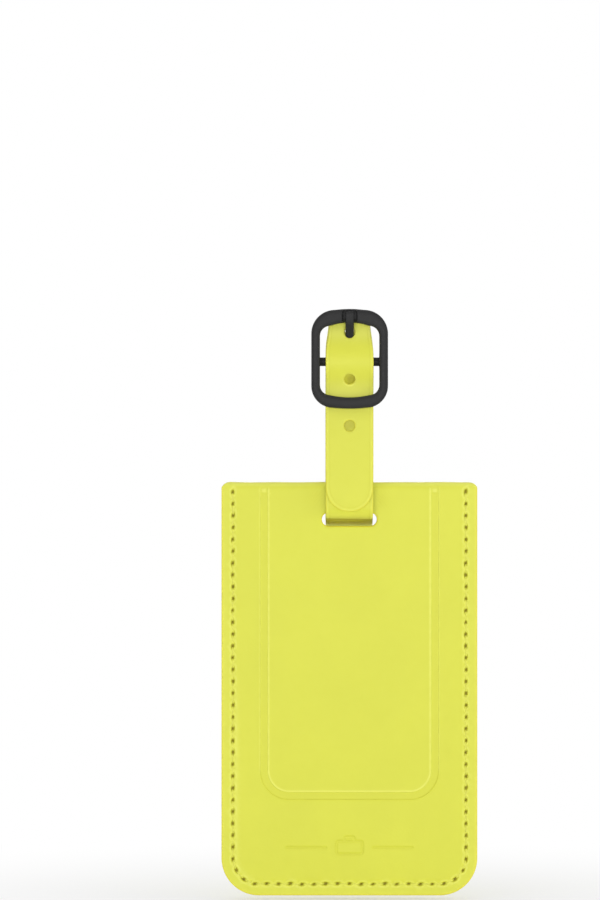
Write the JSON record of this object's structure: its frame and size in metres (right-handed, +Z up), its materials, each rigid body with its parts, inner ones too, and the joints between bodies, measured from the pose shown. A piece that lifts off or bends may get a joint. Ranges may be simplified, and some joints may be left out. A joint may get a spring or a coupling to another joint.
{
  "type": "luggage tag",
  "caption": "Flat rectangular luggage tag with a stitched window pocket, address card and privacy flap, hung on a flat strap that closes on a small centre-bar buckle.",
  "frame": {"origin": "centre of the strap slot, at half the thickness of the tag", "axes": "+Z up the tag towards the strap, +X to the right seen from the front, the front cover faces -Y and the privacy flap faces +Y"},
  "size_m": [0.065, 0.017, 0.1488],
  "materials": {
    "cover": "satin coated synthetic leather",
    "strap": "satin coated synthetic leather",
    "strap_back": "satin",
    "lining": "fine woven",
    "foam": "matt foam",
    "board": "matt paperboard",
    "reinforcement": "matt",
    "window": "clear flexible sheet",
    "card": "uncoated paper card",
    "thread": "twisted polyester thread",
    "buckle": "matt dark paint"
  },
  "bodies": {
    "strap": {"strap_face": "strap", "strap_backing": "strap_back", "strap_end_stitching": "thread"},
    "tag": {"front_cover": "cover", "foam_interliner": "foam", "stiffener_board": "board", "pocket_lining": "lining", "slot_reinforcement": "reinforcement", "window_panel": "cover", "clear_window": "window", "seam_needle_thread": "thread", "seam_bobbin_thread": "thread", "window_stitching": "thread"},
    "card": {"address_card": "card"},
    "flap": {"privacy_flap": "cover", "flap_lining": "lining", "flap_stitching": "thread"},
    "tail": {"strap_tail_face": "strap", "strap_tail_backing": "strap_back"},
    "buckle": {"buckle_frame": "buckle", "buckle_bar": "buckle"},
    "prong": {"buckle_prong": "buckle"}
  },
  "joints": [
    {"name": "tag_swing", "type": "hinge", "parent": "strap", "child": "tag", "pos_m": [0, 0, 0], "axis": [1, 0, 0], "range_deg": [-4, 4]},
    {"name": "flap_hinge", "type": "hinge", "parent": "tag", "child": "flap", "pos_m": [0, 0.0024, -0.0035], "axis": [1, 0, 0], "range_deg": [0, 115]},
    {"name": "card_slide", "type": "slide", "parent": "tag", "child": "card", "axis": [0, 0, 1], "range_m": [0, 0.005]},
    {"name": "tail_lift", "type": "hinge", "parent": "strap", "child": "tail", "pos_m": [0, -0.0066, 0.027], "axis": [-1, 0, 0], "range_deg": [0, 75]},
    {"name": "buckle_tilt", "type": "hinge", "parent": "strap", "child": "buckle", "pos_m": [0, -0.0055, 0.04], "axis": [1, 0, 0], "range_deg": [-1, 1]},
    {"name": "prong_pivot", "type": "hinge", "parent": "buckle", "child": "prong", "pos_m": [0, -0.0055, 0.04], "axis": [1, 0, 0], "range_deg": [0, 2]}
  ]
}
